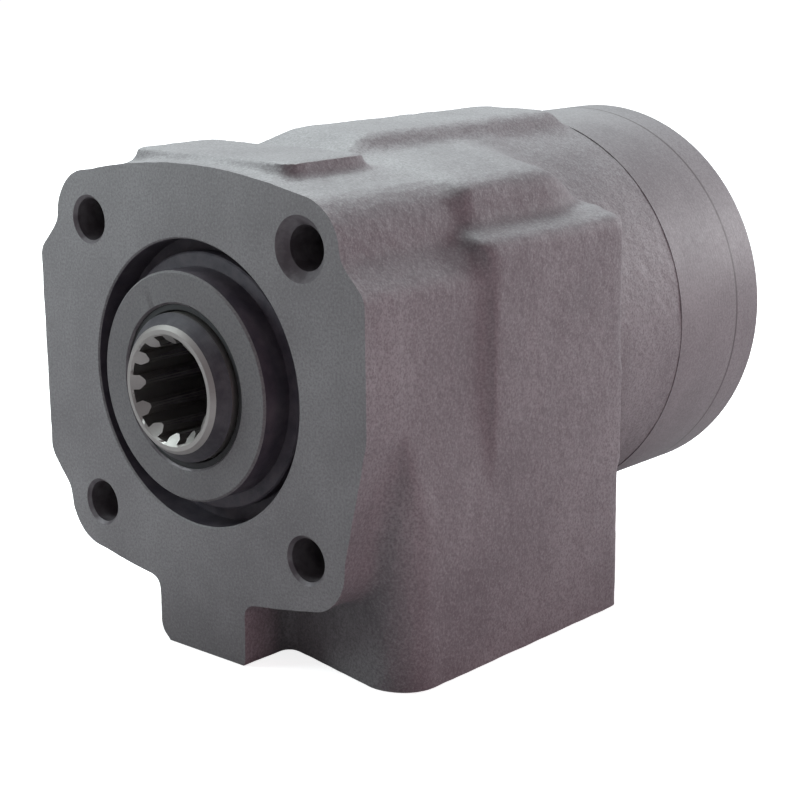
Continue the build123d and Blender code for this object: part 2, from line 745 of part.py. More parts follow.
with BuildPart() as flat_springs:
    with Locations(*[(0, SPRING_Y, side * SPRING_T / 2) for side in (-1, 1)]):
        Box(SPRING_LENGTH, SPRING_WIDTH, SPRING_T - 0.02)
finish(flat_springs, "flat_springs")

with BuildPart() as curved_springs:
    for side in (-1, 1):
        for layer in (0, 1):
            near = side * (SPRING_T * (1 + layer) + 0.02 * (1 + layer))
            bow = side * SPRING_BOW
            end = SPRING_LENGTH / 2
            with BuildSketch(across(SPRING_Y - SPRING_WIDTH / 2)):
                with BuildLine():
                    inner = ThreePointArc((-end, near + bow), (0, near), (end, near + bow))
                    thick = side * (SPRING_T - 0.03)
                    outer = ThreePointArc(
                        (-end, near + bow + thick),
                        (0, near + thick),
                        (end, near + bow + thick),
                    )
                    Line(inner @ 0, outer @ 0)
                    Line(inner @ 1, outer @ 1)
                make_face()
            extrude(amount=-SPRING_WIDTH)
finish(curved_springs, "curved_springs")

# ---- spool -----------------------------------------------------------------------------------------
with BuildPart() as spool:
    with BuildSketch(Plane.XY):
        with BuildLine():
            Polyline(
                (0, SPOOL_NOSE_Y),
                (SPOOL_NOSE_R - NOSE_CHAMFER, SPOOL_NOSE_Y),
                (SPOOL_NOSE_R, SPOOL_NOSE_Y + NOSE_CHAMFER),
                (SPOOL_R, SPOOL_CONE_Y),
                (SPOOL_R, SPOOL_END_Y),
                (0, SPOOL_END_Y),
                close=True,
            )
        make_face()
    revolve(axis=Axis.Y)
    # toothed socket for the steering column
    with BuildSketch(across(SPOOL_NOSE_Y)):
        add(spline_profile(SPLINE_TIP_R, SPLINE_ROOT_R, inward=True))
    extrude(amount=-(SPLINE_END_Y - SPOOL_NOSE_Y), mode=Mode.SUBTRACT)
    with BuildSketch(Plane.XY):
        with BuildLine():
            Polyline(
                (0, SPOOL_NOSE_Y),
                (SPLINE_MOUTH_R, SPOOL_NOSE_Y),
                (SPLINE_TIP_R, SPOOL_NOSE_Y + SPLINE_MOUTH_R - SPLINE_TIP_R),
                (0, SPOOL_NOSE_Y + SPLINE_MOUTH_R - SPLINE_TIP_R),
                close=True,
            )
        make_face()
    revolve(axis=Axis.Y, mode=Mode.SUBTRACT)
    with BuildSketch(across(SPLINE_END_Y)):
        Circle(SPOOL_BORE_R)
    extrude(amount=-(SPOOL_END_Y - SPLINE_END_Y), mode=Mode.SUBTRACT)
    # slot for the springs and the wide holes that let the spool turn about the pin
    with BuildSketch(Plane.XY):
        with Locations((0, SPRING_Y)):
            Rectangle(2 * BORE_R, SLOT_WIDTH)
    extrude(amount=SLOT_HEIGHT / 2, both=True, mode=Mode.SUBTRACT)
    with BuildSketch(Plane.XY):
        with Locations((0, PIN_Y)):
            SlotOverall(PIN_SLOT_W, 2 * (PIN_R + PIN_SIDE_GAP))
    extrude(amount=SPOOL_R + 1, both=True, mode=Mode.SUBTRACT)
    # oil pockets along the spool
    slot_length = SPOOL_SLOT_Y[1] - SPOOL_SLOT_Y[0]
    for k in range(SPOOL_SLOTS):
        slot_plane = Plane(
            origin=(0, sum(SPOOL_SLOT_Y) / 2, 0), x_dir=(0, 1, 0), z_dir=(1, 0, 0)
        ).rotated((0, k * 360 / SPOOL_SLOTS, 0))
        with BuildSketch(slot_plane.offset(SPOOL_R - SPOOL_SLOT_DEPTH)):
            SlotOverall(slot_length, SPOOL_SLOT_W)
        extrude(amount=SPOOL_SLOT_DEPTH + 1, mode=Mode.SUBTRACT)
finish(spool, "spool")

# ---- cardan shaft: fork on the cross pin, crowned teeth in the rotor --------------------------------
CARDAN = Plane(
    origin=(0, PIN_Y, 0), x_dir=(1, 0, 0), z_dir=(0, -cos(CARDAN_TILT * pi / 180), TILT_SINE)
)
CARDAN_REACH = hypot(ECCENTRICITY, ROTOR_MID_Y - PIN_Y)


def along_cardan(y):
    """Plane square to the tilted cardan shaft, y being measured from the mounting face."""
    return CARDAN.offset(PIN_Y - y)


with BuildPart() as cardan_shaft:
    with BuildSketch(along_cardan(CARDAN_FRONT_Y)):
        Circle(CARDAN_FORK_R)
    extrude(amount=-(CARDAN_FORK_END - CARDAN_FRONT_Y))
    chamfer(cardan_shaft.edges().filter_by(GeomType.CIRCLE), 1.2)
    with BuildSketch(along_cardan(CARDAN_FORK_END - 2)):
        Circle(CARDAN_NECK_R)
    extrude(amount=-(CARDAN_TAIL_Y - CARDAN_FORK_END + 2))
    with BuildSketch(along_cardan(PIN_Y + CARDAN_REACH - HEAD_HALF)):
        add(spline_profile(HEAD_TIP_R, HEAD_ROOT_R, False, turn=180 / SPLINE_TEETH))
    extrude(amount=-2 * HEAD_HALF)
    with BuildSketch(along_cardan(CARDAN_FRONT_Y - 1)):
        Rectangle(2 * (PIN_R + FORK_GAP), 2 * CARDAN_FORK_R + 2)
    extrude(amount=-(PIN_Y - CARDAN_FRONT_Y + 1 + PIN_R + FORK_DEEP), mode=Mode.SUBTRACT)
finish(cardan_shaft, "cardan_shaft")

# ---- gear set --------------------------------------------------------------------------------------
with BuildPart() as distributor_plate:
    with BuildSketch(across(HOUSING_LENGTH)):
        Circle(BARREL_R)
        Circle(PLATE_HOLE_R, mode=Mode.SUBTRACT)
        with Locations(*[polar(SCREW_CIRCLE_R, a) for a in lobe_angles()]):
            Circle(SCREW_HOLE_R, mode=Mode.SUBTRACT)
        with Locations(*[polar(PASSAGE_CIRCLE_R, a + SCREW_STEP / 2) for a in lobe_angles()]):
            Circle(PASSAGE_R, mode=Mode.SUBTRACT)
    extrude(amount=-PLATE_T)
    # fan-shaped pockets that lead each passage into its chamber
    with BuildSketch(across(PLATE_END_Y)):
        for angle in lobe_angles():
            turn = angle + SCREW_STEP / 2
            with PolarLocations(PASSAGE_CIRCLE_R + POCKET_OUT, 1, start_angle=turn):
                SlotOverall(POCKET_LENGTH, POCKET_WIDTH)
    extrude(amount=POCKET_DEPTH, mode=Mode.SUBTRACT)
finish(distributor_plate, "distributor_plate")

with BuildPart() as gear_rim:
    with BuildSketch(across(PLATE_END_Y)):
        Circle(BARREL_R)
        Circle(LOBE_CIRCLE_R + 2 * ECCENTRICITY - RING_LOBE_R, mode=Mode.SUBTRACT)
        with Locations(*[polar(LOBE_CIRCLE_R, a) for a in lobe_angles()]):
            Circle(RING_LOBE_R)
        with Locations(*[polar(SCREW_CIRCLE_R, a) for a in lobe_angles()]):
            Circle(SCREW_HOLE_R, mode=Mode.SUBTRACT)
    extrude(amount=-RIM_T)
    for y, inward in ((PLATE_END_Y, -1), (RIM_END_Y, 1)):
        with BuildSketch(across(y)):
            Circle(SEAL_R + SEAL_WIDTH / 2)
            Circle(SEAL_R - SEAL_WIDTH / 2, mode=Mode.SUBTRACT)
        extrude(amount=inward * SEAL_DEPTH, mode=Mode.SUBTRACT)
finish(gear_rim, "gear_rim")

with BuildPart() as rotor:
    with BuildSketch(
        Plane(
            origin=(0, PLATE_END_Y + ROTOR_SIDE_GAP, -ECCENTRICITY),
            x_dir=(0, 0, 1),
            z_dir=(0, 1, 0),
        )
    ):
        with BuildLine():
            Spline(*rotor_profile(), periodic=True)
        make_face()
        add(spline_profile(ROTOR_TIP_R, ROTOR_ROOT_R, inward=True), mode=Mode.SUBTRACT)
    extrude(amount=RIM_T - 2 * ROTOR_SIDE_GAP)
finish(rotor, "rotor")

with BuildPart() as spacer_disc:
    with BuildSketch(across(RIM_END_Y - SPACER_GAP)):
        with Locations((0, -ECCENTRICITY)):
            Circle(SPACER_R)
    extrude(amount=SPACER_T)
    chamfer(spacer_disc.edges().filter_by(GeomType.CIRCLE), 0.3)
finish(spacer_disc, "spacer_disc")

with BuildPart() as end_cover:
    with BuildSketch(across(RIM_END_Y)):
        Circle(BARREL_R)
        with Locations(*[polar(SCREW_CIRCLE_R, a) for a in lobe_angles()]):
            Circle(SCREW_HOLE_R, mode=Mode.SUBTRACT)
    extrude(amount=-COVER_T)
    with BuildSketch(across(UNIT_END_Y)):
        with Locations(*[polar(SCREW_CIRCLE_R, a) for a in lobe_angles()]):
            Circle(HEAD_RECESS_R)
    extrude(amount=UNIT_END_Y - HEAD_FLOOR_Y, mode=Mode.SUBTRACT)
    chamfer(end_cover.edges().group_by(Axis.Y)[-1].sort_by(SortBy.LENGTH)[-1], COVER_CHAMFER)
finish(end_cover, "end_cover")

SEAL_FRONTS = {
    "housing_oring": HOUSING_LENGTH - SEAL_DEPTH,
    "plate_oring": PLATE_END_Y,
    "cover_oring": RIM_END_Y - SEAL_DEPTH,
}
for name, front in SEAL_FRONTS.items():
    with BuildPart() as face_oring:
        add(ring(SEAL_R + SEAL_WIDTH / 2, SEAL_R - SEAL_WIDTH / 2, front, SEAL_DEPTH))
        chamfer(face_oring.edges().filter_by(GeomType.CIRCLE), 0.3)
    finish(face_oring, name)

# ---- screws and washers -------------------------------------------------------------------------------
with BuildPart() as cover_washers:
    with BuildSketch(across(HEAD_FLOOR_Y)):
        with Locations(*[polar(SCREW_CIRCLE_R, a) for a in lobe_angles()]):
            Circle(WASHER_R)
            Circle(SCREW_HOLE_R, mode=Mode.SUBTRACT)
    extrude(amount=-WASHER_T)
finish(cover_washers, "cover_washers")


def screw(angle, grip):
    """Hexagon socket screw through the gear set, threaded into the housing."""
    with BuildPart() as one:
        seat = HEAD_FLOOR_Y + WASHER_T
        with BuildSketch(across(seat)):
            with Locations(polar(SCREW_CIRCLE_R, angle)):
                Circle(HEAD_R)
        extrude(amount=-HEAD_H)
        chamfer(one.edges().group_by(Axis.Y)[-1], 0.6)
        with BuildSketch(across(seat)):
            with Locations(polar(SCREW_CIRCLE_R, angle)):
                Circle(SCREW_D / 2)
        extrude(amount=seat - HOUSING_LENGTH)
        with BuildSketch(across(HOUSING_LENGTH)):
            with Locations(polar(SCREW_CIRCLE_R, angle)):
                Circle(SCREW_TAP_R)
        extrude(amount=grip)
        with BuildSketch(across(seat + HEAD_H)):
            with Locations(polar(SCREW_CIRCLE_R, angle)):
                RegularPolygon(HEAD_HEX / 2, 6, major_radius=False)
        extrude(amount=HEAD_HEX_DEPTH, mode=Mode.SUBTRACT)
    return one.part


with BuildPart() as cover_screws:
    for angle in lobe_angles()[1:]:
        add(screw(angle, SCREW_GRIP))
finish(cover_screws, "cover_screws")

with BuildPart() as pin_screw:
    add(screw(lobe_angles()[0], PIN_SCREW_GRIP))
finish(pin_screw, "pin_screw")

# ---- check valve and suction valves in the rear face ------------------------------------------------------
with BuildPart() as check_bush:
    with BuildSketch(across(HOUSING_LENGTH - 0.3)):
        with Locations(check_place()):
            Circle(CHECK_BORE_R)
            RegularPolygon(BUSH_HOLE_R, 6, major_radius=False, mode=Mode.SUBTRACT)
    extrude(amount=BUSH_T)
finish(check_bush, "check_bush")

CHECK_BALL_Y = HOUSING_LENGTH - CHECK_DEPTH + CHECK_BALL_R + BALL_REST
with BuildPart() as check_ball:
    with Locations((check_place()[0], CHECK_BALL_Y, check_place()[1])):
        Sphere(CHECK_BALL_R)
finish(check_ball, "check_ball")

SUCTION_BALL_Y = HOUSING_LENGTH - SUCTION_DEPTH + SUCTION_BALL_R + BALL_REST
for name, (x, z) in zip(("left", "right"), suction_places()):
    with BuildPart() as suction_ball:
        with Locations((x, SUCTION_BALL_Y, z)):
            Sphere(SUCTION_BALL_R)
    finish(suction_ball, f"suction_ball_{name}")

with BuildPart() as suction_pins:
    with BuildSketch(across(HOUSING_LENGTH - 0.2)):
        with Locations(*suction_places()):
            Circle(SUCTION_BORE_R)
    extrude(amount=2)
    with BuildSketch(across(HOUSING_LENGTH - 0.2)):
        with Locations(*suction_places()):
            Circle(SUCTION_PIN_R)
    extrude(amount=SUCTION_PIN_LENGTH)
finish(suction_pins, "suction_pins")

# ---- relief valve and shock valves in the port face ---------------------------------------------------------


def valve_plug(y, radius):
    """Hexagon socket plug, flush with the port face."""
    with BuildPart() as plug:
        with BuildSketch(Plane.XY.offset(PORT_FACE_Z + PLUG_SET)):
            with Locations((0, y)):
                Circle(radius)
        extrude(amount=PLUG_DEPTH - PLUG_SET - PLUG_SEAL_T)
        with BuildSketch(Plane.XY.offset(PORT_FACE_Z + PLUG_SET)):
            with Locations((0, y)):
                RegularPolygon(PLUG_HEX / 2, 6, major_radius=False)
        extrude(amount=PLUG_HEX_DEPTH, mode=Mode.SUBTRACT)
    return plug.part


def plug_seal(y, outer, inner):
    """Seal ring between a plug and the step of its bore."""
    with BuildPart() as seal:
        with BuildSketch(Plane.XY.offset(PORT_FACE_Z + PLUG_DEPTH - PLUG_SEAL_T)):
            with Locations((0, y)):
                Circle(outer)
                Circle(inner, mode=Mode.SUBTRACT)
        extrude(amount=PLUG_SEAL_T)
    return seal.part


def coil(y, low, high, mean_r, wire_r, turns):
    """Compression spring between two heights, on the axis of a valve bore."""
    travel = high - low - 2 * wire_r
    with BuildPart() as spring:
        with BuildLine(Plane((0, y, low + wire_r))) as path:
            Helix(pitch=travel / turns, height=travel, radius=mean_r)
        with BuildSketch(Plane(path.line @ 0, z_dir=path.line % 0)):
            Circle(wire_r)
        sweep(is_frenet=True)
    return spring.part


VALVE_STEP_Z = PORT_FACE_Z + PLUG_DEPTH
RELIEF_TOP_Z = PORT_FACE_Z + RELIEF_DEPTH
SHOCK_TOP_Z = PORT_FACE_Z + SHOCK_DEPTH
RELIEF_ADJUSTER_TOP = VALVE_STEP_Z + ADJUSTER_T
SHOCK_SEAT_Z = SHOCK_TOP_Z - SEAT_T
RELIEF_SEAT_Z = RELIEF_TOP_Z - SEAT_T

with BuildPart() as relief_plug:
    add(valve_plug(RELIEF_Y, RELIEF_PLUG_R))
finish(relief_plug, "relief_plug")

with BuildPart() as shock_plugs:
    for y in SHOCK_Y:
        add(valve_plug(y, SHOCK_PLUG_R))
finish(shock_plugs, "shock_plugs")

with BuildPart() as plug_seals:
    add(plug_seal(RELIEF_Y, RELIEF_PLUG_R, RELIEF_BORE_R))
    for y in SHOCK_Y:
        add(plug_seal(y, SHOCK_PLUG_R, SHOCK_BORE_R))
finish(plug_seals, "plug_seals")

with BuildPart() as relief_seat:
    with BuildSketch(Plane.XY.offset(RELIEF_SEAT_Z)):
        with Locations((0, RELIEF_Y)):
            Circle(RELIEF_BORE_R)
            Circle(SEAT_HOLE_R, mode=Mode.SUBTRACT)
    extrude(amount=SEAT_T)
finish(relief_seat, "relief_seat")

with BuildPart() as relief_poppet:
    with BuildSketch(Plane.XZ.offset(-RELIEF_Y)):
        with BuildLine():
            Polyline(
                (0, RELIEF_SEAT_Z + POPPET_TIP - VALVE_LIFT_GAP),
                (SEAT_HOLE_R + POPPET_LAND, RELIEF_SEAT_Z - VALVE_LIFT_GAP - POPPET_LAND),
                (RELIEF_BORE_R - VALVE_FIT, RELIEF_SEAT_Z - VALVE_LIFT_GAP - POPPET_LAND),
                (RELIEF_BORE_R - VALVE_FIT, RELIEF_SEAT_Z - POPPET_LENGTH),
                (POPPET_STEM_R, RELIEF_SEAT_Z - POPPET_LENGTH),
                (POPPET_STEM_R, RELIEF_SEAT_Z - POPPET_LENGTH - POPPET_STEM),
                (0, RELIEF_SEAT_Z - POPPET_LENGTH - POPPET_STEM),
                close=True,
            )
        make_face()
    revolve(axis=Axis((0, RELIEF_Y, 0), (0, 0, 1)))
finish(relief_poppet, "relief_poppet")

with BuildPart() as relief_adjuster:
    with BuildSketch(Plane.XY.offset(VALVE_STEP_Z)):
        with Locations((0, RELIEF_Y)):
            Circle(RELIEF_BORE_R)
            RegularPolygon(PLUG_HEX / 2, 6, major_radius=False, mode=Mode.SUBTRACT)
    extrude(amount=ADJUSTER_T)
finish(relief_adjuster, "relief_adjuster")

with BuildPart() as relief_spring:
    add(
        coil(
            RELIEF_Y,
            RELIEF_ADJUSTER_TOP,
            RELIEF_SEAT_Z - POPPET_LENGTH,
            RELIEF_COIL_R,
            RELIEF_WIRE_R,
            COIL_TURNS,
        )
    )
finish(relief_spring, "relief_spring")

with BuildPart() as shock_seats:
    with BuildSketch(Plane.XY.offset(SHOCK_SEAT_Z)):
        for y in SHOCK_Y:
            with Locations((0, y)):
                Circle(SHOCK_BORE_R)
                Circle(SEAT_HOLE_R, mode=Mode.SUBTRACT)
    extrude(amount=SEAT_T)
finish(shock_seats, "shock_seats")

SHOCK_BALL_Z = SHOCK_SEAT_Z - BALL_REST - (BALL_R ** 2 - SEAT_HOLE_R ** 2) ** 0.5
for name, y in zip(("front", "rear"), SHOCK_Y):
    with BuildPart() as shock_ball:
        with Locations((0, y, SHOCK_BALL_Z)):
            Sphere(BALL_R)
    finish(shock_ball, f"shock_ball_{name}")

coil_drop = ((BALL_R + SHOCK_WIRE_R) ** 2 - SHOCK_COIL_R ** 2) ** 0.5
with BuildPart() as shock_springs:
    for y in SHOCK_Y:
        add(
            coil(
                y,
                VALVE_STEP_Z,
                SHOCK_BALL_Z - coil_drop + SHOCK_WIRE_R - VALVE_LIFT_GAP,
                SHOCK_COIL_R,
                SHOCK_WIRE_R,
                COIL_TURNS,
            )
        )
finish(shock_springs, "shock_springs")
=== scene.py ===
import json
from math import atan2, cos, hypot, pi, radians, sin, sqrt

import bmesh
import bpy
from mathutils import Matrix, Vector

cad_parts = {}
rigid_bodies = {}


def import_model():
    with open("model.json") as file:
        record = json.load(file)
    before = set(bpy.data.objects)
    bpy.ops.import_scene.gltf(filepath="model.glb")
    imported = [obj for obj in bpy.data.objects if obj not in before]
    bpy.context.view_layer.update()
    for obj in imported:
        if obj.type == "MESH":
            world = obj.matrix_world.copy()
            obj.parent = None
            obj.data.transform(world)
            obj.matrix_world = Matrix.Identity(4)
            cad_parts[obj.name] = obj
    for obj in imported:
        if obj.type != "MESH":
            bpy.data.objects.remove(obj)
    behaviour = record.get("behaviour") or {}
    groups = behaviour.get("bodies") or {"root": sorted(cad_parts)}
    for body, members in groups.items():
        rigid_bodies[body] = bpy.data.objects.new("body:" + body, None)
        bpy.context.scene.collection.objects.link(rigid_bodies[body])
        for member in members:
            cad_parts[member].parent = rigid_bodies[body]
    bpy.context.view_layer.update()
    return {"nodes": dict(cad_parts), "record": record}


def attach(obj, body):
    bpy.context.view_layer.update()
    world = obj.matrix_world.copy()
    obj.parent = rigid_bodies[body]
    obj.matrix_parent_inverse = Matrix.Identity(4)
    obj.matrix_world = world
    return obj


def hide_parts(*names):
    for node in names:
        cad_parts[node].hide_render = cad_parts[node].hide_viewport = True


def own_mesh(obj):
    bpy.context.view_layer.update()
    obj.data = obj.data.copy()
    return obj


# Orbital steering unit.  Metres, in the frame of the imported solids: the shaft runs
# along Y, the mounting face lies at Y = 0 and the unit stands on its port face.

MM = 0.001

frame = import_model()
nodes = frame["nodes"]

# ---- camera -------------------------------------------------------------------------
FRAME_PIXELS = 800
SENSOR = 36.0
FOCAL_PIXELS = 1868.64
CAMERA_AZIMUTH = 41.69
CAMERA_ELEVATION = 13.99
CAMERA_ROLL = -0.50
CAMERA_DISTANCE = 405.23 * MM
CAMERA_TARGET = Vector((-0.6, 60.0, -14.66)) * MM


def place_camera():
    """Camera in front of the mounting face, to its right and a little above it."""
    azimuth, elevation, roll = (
        radians(a) for a in (CAMERA_AZIMUTH, CAMERA_ELEVATION, CAMERA_ROLL)
    )
    back = Vector(
        (sin(azimuth) * cos(elevation), -cos(azimuth) * cos(elevation), sin(elevation))
    )
    right = Vector((cos(azimuth), sin(azimuth), 0.0))
    up = back.cross(right)
    turned_right = right * cos(roll) + up * sin(roll)
    turned_up = up * cos(roll) - right * sin(roll)
    data = bpy.data.cameras.new("camera")
    data.sensor_width = SENSOR
    data.sensor_fit = "HORIZONTAL"
    data.lens = FOCAL_PIXELS * SENSOR / FRAME_PIXELS
    data.clip_start = 0.01
    camera = bpy.data.objects.new("camera", data)
    bpy.context.scene.collection.objects.link(camera)
    turn = Matrix((turned_right, turned_up, back)).transposed()
    place = CAMERA_TARGET + back * CAMERA_DISTANCE
    camera.matrix_world = Matrix.Translation(place) @ turn.to_4x4()
    bpy.context.scene.camera = camera


place_camera()


# ---- shader maths -----------------------------------------------------------------------
class Field:
    """A value that changes over a surface.  Sums written on it become Math nodes."""

    def __init__(self, finish, socket):
        self.finish = finish
        self.socket = socket

    def _math(self, operation, first, second):
        node = self.finish.node("ShaderNodeMath", {"operation": operation}, {0: first, 1: second})
        return Field(self.finish, node.outputs[0])

    def __add__(self, other):
        return self._math("ADD", self, other)

    def __radd__(self, other):
        return self._math("ADD", other, self)

    def __sub__(self, other):
        return self._math("SUBTRACT", self, other)

    def __rsub__(self, other):
        return self._math("SUBTRACT", other, self)

    def __mul__(self, other):
        return self._math("MULTIPLY", self, other)

    def clear(self, low, high):
        """0 below low, 1 above high and a straight rise between them."""
        node = self.finish.node(
            "ShaderNodeMapRange",
            {"clamp": True},
            {"Value": self, "From Min": low, "From Max": high},
        )
        return Field(self.finish, node.outputs["Result"])


class Finish:
    """A procedural material on object coordinates, ending in one Principled shader."""

    def __init__(self, name):
        self.material = bpy.data.materials.new(name)
        self.material.use_nodes = True
        self.tree = self.material.node_tree
        self.tree.nodes.clear()
        self.place = self.node("ShaderNodeTexCoord").outputs["Object"]

    def node(self, kind, settings=None, values=None):
        """Any node: its settings come first, then the values or links of its sockets."""
        made = self.tree.nodes.new(kind)
        for key, setting in (settings or {}).items():
            setattr(made, key, setting)
        for key, value in (values or {}).items():
            socket = made.inputs[key]
            if isinstance(value, Field):
                self.tree.links.new(value.socket, socket)
            elif isinstance(value, bpy.types.NodeSocket):
                self.tree.links.new(value, socket)
            else:
                socket.default_value = value
        return made

    def noise(self, per_mm, detail, roughness):
        """Cloudy noise with per_mm waves to the millimetre, about 0 to 1."""
        made = self.node(
            "ShaderNodeTexNoise",
            {},
            {
                "Vector": self.place,
                "Scale": per_mm / MM,
                "Detail": detail,
                "Roughness": roughness,
            },
        )
        return Field(self, made.outputs["Fac"])

    def pits(self, per_mm):
        """Distance to the nearest of many scattered points, for the grain of a casting."""
        made = self.node(
            "ShaderNodeTexVoronoi", {}, {"Vector": self.place, "Scale": per_mm / MM}
        )
        return Field(self, made.outputs["Distance"])

    def edges(self):
        """Above 0.5 on sharp outer corners, below it in hollows."""
        return Field(self, self.node("ShaderNodeNewGeometry").outputs["Pointiness"])

    def waves(self, distance, per_mm):
        """Turning lines: waves along a distance."""
        made = self.node(
            "ShaderNodeTexNoise",
            {"noise_dimensions": "1D"},
            {"W": Field(self, distance) * (per_mm / MM), "Scale": 1.0, "Detail": 2.0},
        )
        return Field(self, made.outputs["Fac"])

    def rings(self, per_mm):
        """Lines of a facing cut: waves of the distance from the shaft axis."""
        place = self.node("ShaderNodeMapping", {}, {"Vector": self.place, "Scale": (1, 0, 1)})
        length = self.node("ShaderNodeVectorMath", {"operation": "LENGTH"}, {0: place.outputs[0]})
        return self.waves(length.outputs["Value"], per_mm)

    def along_shaft(self):
        """Place along the shaft axis."""
        return self.node("ShaderNodeSeparateXYZ", {}, {0: self.place}).outputs["Y"]

    def hoops(self, per_mm):
        """Lines turned round a bar: waves along the shaft axis."""
        return self.waves(self.along_shaft(), per_mm)

    def seam(self, y, width):
        """1 on a thin line round the unit at y millimetres, 0 beside it."""
        along = Field(self, self.along_shaft()) - y * MM
        away = self.node("ShaderNodeMath", {"operation": "ABSOLUTE"}, {0: along})
        return 1 - Field(self, away.outputs[0]).clear(0.4 * width * MM, width * MM)

    def mix(self, share, first, second):
        """Colour between two colours."""
        made = self.node(
            "ShaderNodeMix",
            {"data_type": "RGBA"},
            {"Factor": share, 6: colour_of(first), 7: colour_of(second)},
        )
        return made.outputs[2]

    def shader(self, colour, roughness, height, depth, metallic=0.0):
        """The closing Principled shader; depth is the height of the relief in millimetres."""
        bump = self.node(
            "ShaderNodeBump", {}, {"Height": height, "Distance": depth * MM, "Strength": 1.0}
        )
        shade = self.node(
            "ShaderNodeBsdfPrincipled",
            {},
            {
                "Base Color": colour_of(colour),
                "Roughness": roughness,
                "Metallic": metallic,
                "Normal": bump.outputs[0],
            },
        )
        self.node("ShaderNodeOutputMaterial", {}, {"Surface": shade.outputs[0]})
        return self.material


def colour_of(value):
    """A colour with its alpha, or the link it already is."""
    return (*value, 1.0) if isinstance(value, tuple) else value


# ---- finishes ---------------------------------------------------------------------------
PAINT = (0.178, 0.168, 0.174)
PAINT_LIGHT = (0.250, 0.238, 0.246)
PAINT_DARK = (0.112, 0.100, 0.108)
WORN_IRON = (0.30, 0.28, 0.27)
# dark grey-brown: painted shade in the casting's hollows, and the dark line of the cover seam
GRIME_AND_SHADE = (0.055, 0.045, 0.047)
COVER_SEAM_Y = 124.4        # where the end cover meets the gear rim
SPECKLE = (2.0, 3.0, 0.7)   # waves to the millimetre, detail and roughness of the paint's speckle
STEEL_STAIN = 0.25
STEEL_DULL = 0.55           # the oil film's colour, as a share of the bare steel's


def mottled(finish, cloud, speckle, paint_share, dark_share, light_share, shade=1.0):
    """Paint colour: clouds of dark and light, then fine speckle of both."""
    paint, light, dark = (
        tuple(channel * shade for channel in colour)
        for colour in (PAINT, PAINT_LIGHT, PAINT_DARK)
    )
    base = finish.mix(cloud, dark, light)
    base = finish.mix(paint_share, base, paint)
    base = finish.mix((1 - speckle.clear(0.38, 0.52)) * dark_share, base, dark)
    return finish.mix(speckle.clear(0.52, 0.66) * light_share, base, light)


def cast_paint():
    """Thin grey paint over a sand casting: grainy, mottled, thinner on the corners, with painted
    shade darkening the hollows.
    """
    finish = Finish("cast_paint")
    cloud = finish.noise(0.035, 4.0, 0.6)
    speckle = finish.noise(*SPECKLE)
    grain = finish.noise(0.62, 5.0, 0.72)
    crust = finish.pits(0.5)
    corner = finish.edges().clear(0.52, 0.60)
    hollow_shade = 1 - finish.edges().clear(0.40, 0.49)
    base = mottled(finish, cloud.clear(0.32, 0.68), speckle, 0.45, 0.7, 0.6)
    # painted shade: the hollows are darkened towards the dark grey-brown
    base = finish.mix(hollow_shade * 0.6, base, GRIME_AND_SHADE)
    base = finish.mix(corner * grain.clear(0.48, 0.66) * 0.6, base, WORN_IRON)
    return finish.shader(
        base,
        0.50 + grain * 0.22,
        height=grain * 0.65 + crust * 0.5 + speckle * 0.25,
        depth=0.22,
    )


def machined_paint(name="machined_paint", shade=1.0):
    """The same paint over turned and milled faces, with the tool lines showing through."""
    finish = Finish(name)
    cloud = finish.noise(0.05, 4.0, 0.6)
    speckle = finish.noise(*SPECKLE)
    fine = finish.noise(0.8, 4.0, 0.65)
    lines = finish.rings(2.6)
    base = mottled(finish, cloud.clear(0.3, 0.7), speckle, 0.55, 0.55, 0.45, shade)
    return finish.shader(
        base, 0.46 + fine * 0.2, height=fine * 0.6 + lines * 0.25, depth=0.07
    )


def turned_paint():
    """Paint over the turned rims of the gear set, with fine lines round them."""
    finish = Finish("turned_paint")
    cloud = finish.noise(0.05, 4.0, 0.6)
    speckle = finish.noise(*SPECKLE)
    fine = finish.noise(0.7, 4.0, 0.65)
    lines = finish.hoops(2.2)
    base = mottled(finish, cloud.clear(0.3, 0.7), speckle, 0.55, 0.5, 0.45)
    base = finish.mix(finish.seam(COVER_SEAM_Y, 0.45) * 0.85, base, GRIME_AND_SHADE)
    return finish.shader(
        base, 0.46 + fine * 0.2, height=fine * 0.6 + lines * 0.3, depth=0.07
    )


def steel(name, tint, rough, line_share=0.4):
    """Turned or ground steel with tool lines and a thin, patchy oil film."""
    finish = Finish(name)
    lines = finish.hoops(4.0)
    film = finish.noise(0.12, 4.0, 0.6)
    scuff = finish.noise(0.9, 3.0, 0.6)
    dull = tuple(channel * STEEL_DULL for channel in tint)
    base = finish.mix(film.clear(0.45, 0.75) * STEEL_STAIN, tint, dull)
    base = finish.mix(scuff.clear(0.6, 0.8) * 0.25, base, dull)
    return finish.shader(
        base,
        rough + film * 0.18,
        height=lines * line_share + scuff * 0.3,
        depth=0.02,
        metallic=0.95,
    )


def rubber():
    """Black nitrile rubber with a dusty bloom."""
    finish = Finish("seal_rubber")
    dust = finish.noise(0.4, 5.0, 0.65)
    fine = finish.noise(1.6, 2.0, 0.5)
    base = finish.mix(dust.clear(0.5, 0.8) * 0.5, (0.018, 0.018, 0.02), (0.06, 0.056, 0.054))
    return finish.shader(base, 0.62 + dust * 0.2, height=fine, depth=0.03)


def seal_plastic():
    """Brown filled sealing plastic."""
    finish = Finish("seal_ptfe")
    fleck = finish.noise(1.2, 3.0, 0.6)
    base = finish.mix(fleck.clear(0.4, 0.7), (0.17, 0.12, 0.08), (0.24, 0.18, 0.12))
    return finish.shader(base, 0.45 + fleck * 0.1, height=fleck, depth=0.01)


